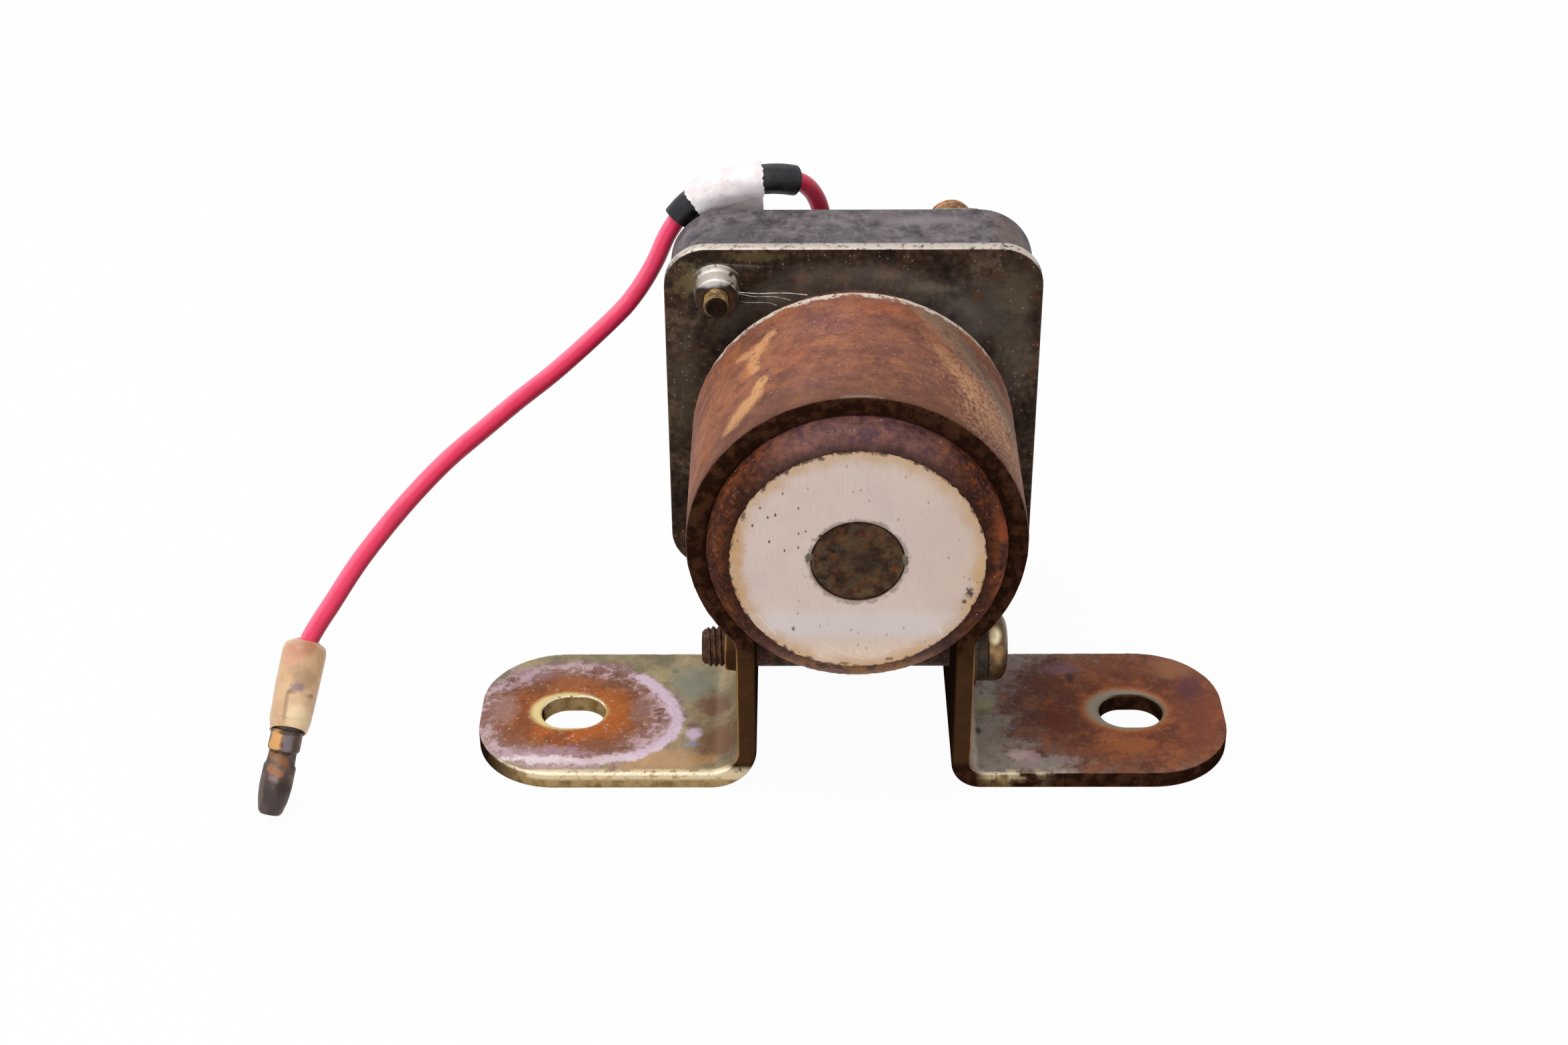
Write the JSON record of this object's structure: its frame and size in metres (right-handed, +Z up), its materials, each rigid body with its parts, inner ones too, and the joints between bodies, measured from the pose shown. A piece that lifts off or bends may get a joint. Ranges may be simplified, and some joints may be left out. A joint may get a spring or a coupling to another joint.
{
  "type": "starter solenoid",
  "caption": "Round starter solenoid in a wrapped strap bracket with two slotted feet, a square terminal cap with two studs, and a short fly lead with a bullet connector.",
  "frame": {"origin": "midway between the two foot slots, on the underside of the feet", "axes": "+X along the feet, +Y along the can's axis from its closed end to the terminals, +Z up from the feet"},
  "size_m": [0.1181, 0.0644, 0.0626],
  "materials": {
    "rusty_steel": "rusted",
    "dull_steel": "dull",
    "passivated_steel": "yellow passivated",
    "spring_steel": "plain",
    "pale_card": "matte",
    "dark_moulding": "dusty",
    "fibre_sheet": "matte",
    "copper": "tarnished",
    "brass": "tarnished",
    "red_insulation": "satin",
    "black_rubber": "satin",
    "clear_tape": "clear",
    "amber_sleeve": "translucent"
  },
  "bodies": {
    "housing": {"bracket": "rusty_steel", "clamp_screw": "passivated_steel", "clamp_flat_washer": "dull_steel", "clamp_lock_washer": "dull_steel", "can": "rusty_steel", "end_ring": "pale_card", "fixed_core": "dull_steel", "bobbin": "dark_moulding", "winding": "copper", "flange_plate": "rusty_steel", "insulator_sheet": "fibre_sheet", "terminal_cap": "dark_moulding", "cap_screws": "passivated_steel", "cap_screw_washers": "dull_steel", "terminal_studs": "copper", "contact_blades": "copper", "stud_flat_washers": "dull_steel", "stud_lock_washers": "dull_steel", "stud_nuts": "dull_steel", "lead_grommet": "black_rubber", "lead_wire": "red_insulation", "lead_sleeve": "black_rubber", "lead_tape": "clear_tape", "connector_sleeve": "amber_sleeve", "bullet_terminal": "brass", "return_spring": "spring_steel"},
    "armature": {"plunger": "dull_steel", "plunger_stem": "brass", "insulating_bush": "dark_moulding", "contact_spring": "spring_steel", "retaining_clip": "spring_steel"},
    "bridge": {"contact_disc": "copper"}
  },
  "joints": [
    {"name": "plunger_slide", "type": "slide", "parent": "housing", "child": "armature", "axis": [0, -1, 0], "range_m": [0, 0.0022], "stiffness_N_per_m": 300, "deforming": ["return_spring"]},
    {"name": "disc_overtravel", "type": "slide", "parent": "armature", "child": "bridge", "axis": [0, 1, 0], "range_m": [0, 0.0009], "stiffness_N_per_m": 500, "deforming": ["contact_spring"]}
  ],
  "couplings": [
    {"joint": "disc_overtravel", "follows": "plunger_slide", "ratio": 0.409}
  ]
}
